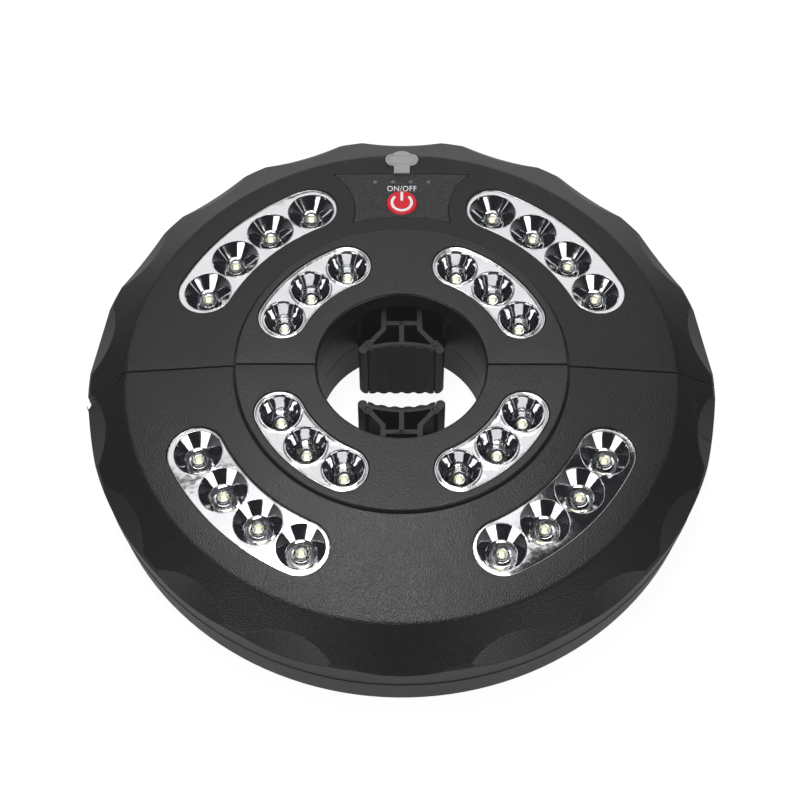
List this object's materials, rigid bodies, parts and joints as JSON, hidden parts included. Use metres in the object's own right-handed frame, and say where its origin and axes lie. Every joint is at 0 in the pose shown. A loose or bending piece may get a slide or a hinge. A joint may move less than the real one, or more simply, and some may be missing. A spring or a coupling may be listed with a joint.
{
  "type": "patio umbrella light",
  "caption": "Round clam-shell pole lamp in two hinged halves, with sprung jaws that grip an umbrella pole and rings of reflector-cup LEDs round the hole.",
  "frame": {"origin": "pole axis at the plane of the flat back", "axes": "+Z out of the lit face, +Y towards the half with the power button, +X towards the latch"},
  "size_m": [0.2154, 0.215, 0.0405],
  "materials": {
    "black_abs": "fine-textured black moulding",
    "panel_overlay": "coarse-textured black overlay",
    "indicator_lens": "frosted light guide",
    "red_button": "satin red with a white power mark",
    "switch_black": "plain black moulding",
    "port_silicone": "matt grey silicone",
    "chrome": "bright vacuum-metallised plastic",
    "clear_epoxy": "water-clear epoxy",
    "led_frame": "tinned lead frame with a pale yellow phosphor",
    "led_board_white": "white solder mask",
    "control_board_green": "green solder mask",
    "cell_wrap": "shrink sleeve",
    "lead_insulation": "soft insulated wire",
    "jaw_plastic": "dark satin moulding",
    "pad_rubber": "soft ribbed rubber",
    "spring_steel": "bright spring steel",
    "steel": "zinc-plated steel"
  },
  "bodies": {
    "main": {"main_face_cover": "black_abs", "main_back_cover": "black_abs", "control_panel": "panel_overlay", "indicator_windows": "indicator_lens", "tact_switch": "switch_black", "usb_socket": "steel", "port_cover_strap": "port_silicone", "control_board": "control_board_green", "main_outer_reflector_left": "chrome", "main_outer_reflector_right": "chrome", "main_inner_reflector_left": "chrome", "main_inner_reflector_right": "chrome", "main_led_boards": "led_board_white", "main_led_lenses": "clear_epoxy", "main_led_chips": "led_frame", "battery_cells": "cell_wrap", "battery_cradle": "switch_black", "battery_leads": "lead_insulation", "main_jaw_springs": "spring_steel", "main_hinge_lead": "lead_insulation", "latch_catch": "spring_steel", "main_hook_pin": "steel", "main_cover_screws": "steel", "main_board_screws": "steel"},
    "swing_half": {"swing_face_cover": "black_abs", "swing_back_cover": "black_abs", "swing_outer_reflector_left": "chrome", "swing_outer_reflector_right": "chrome", "swing_inner_reflector_left": "chrome", "swing_inner_reflector_right": "chrome", "swing_led_boards": "led_board_white", "swing_led_lenses": "clear_epoxy", "swing_led_chips": "led_frame", "swing_jaw_springs": "spring_steel", "hinge_pin": "steel", "swing_hinge_lead": "lead_insulation", "latch_spring": "spring_steel", "swing_hook_pin": "steel", "swing_cover_screws": "steel", "swing_board_screws": "steel"},
    "main_jaw_slide": {"main_jaw": "jaw_plastic", "main_jaw_pad": "pad_rubber"},
    "swing_jaw_slide": {"swing_jaw": "jaw_plastic", "swing_jaw_pad": "pad_rubber"},
    "power_key": {"power_button": "red_button", "switch_plunger": "switch_black"},
    "port_flap": {"port_cover": "port_silicone"},
    "latch_key": {"latch_button": "black_abs"},
    "main_hook_arm": {"main_hook": "black_abs"},
    "swing_hook_arm": {"swing_hook": "black_abs"}
  },
  "joints": [
    {"name": "swing_hinge", "type": "hinge", "parent": "main", "child": "swing_half", "pos_m": [-0.1031, 0.0026, 0.015], "axis": [0, 0, -1], "range_deg": [0, 90], "deforming": ["latch_catch"]},
    {"name": "main_jaw_travel", "type": "slide", "parent": "main", "child": "main_jaw_slide", "axis": [0, 1, 0], "range_m": [0, 0.011], "stiffness_N_per_m": 500, "springref_m": -0.01, "deforming": ["main_jaw_springs"]},
    {"name": "swing_jaw_travel", "type": "slide", "parent": "swing_half", "child": "swing_jaw_slide", "axis": [0, -1, 0], "range_m": [0, 0.011], "stiffness_N_per_m": 500, "springref_m": -0.01, "deforming": ["swing_jaw_springs"]},
    {"name": "power_press", "type": "slide", "parent": "main", "child": "power_key", "axis": [0, 0, -1], "range_m": [0, 0.0006], "stiffness_N_per_m": 300, "springref_m": -0.001},
    {"name": "port_flap_hinge", "type": "hinge", "parent": "main", "child": "port_flap", "pos_m": [0, 0.086, 0.03648], "axis": [1, 0, 0], "range_deg": [0, 110], "deforming": ["port_cover_strap"]},
    {"name": "latch_press", "type": "hinge", "parent": "swing_half", "child": "latch_key", "pos_m": [0.1014, -0.01365, 0.0269], "axis": [0, 1, 0], "range_deg": [0, 6], "stiffness_Nm_per_rad": 0.08, "springref_deg": -6.88, "deforming": ["latch_spring"]},
    {"name": "main_hook_fold", "type": "hinge", "parent": "main", "child": "main_hook_arm", "pos_m": [0, 0.089, 0.0027], "axis": [1, 0, 0], "range_deg": [0, 90]},
    {"name": "swing_hook_fold", "type": "hinge", "parent": "swing_half", "child": "swing_hook_arm", "pos_m": [0, -0.089, 0.0027], "axis": [-1, 0, 0], "range_deg": [0, 90]}
  ]
}
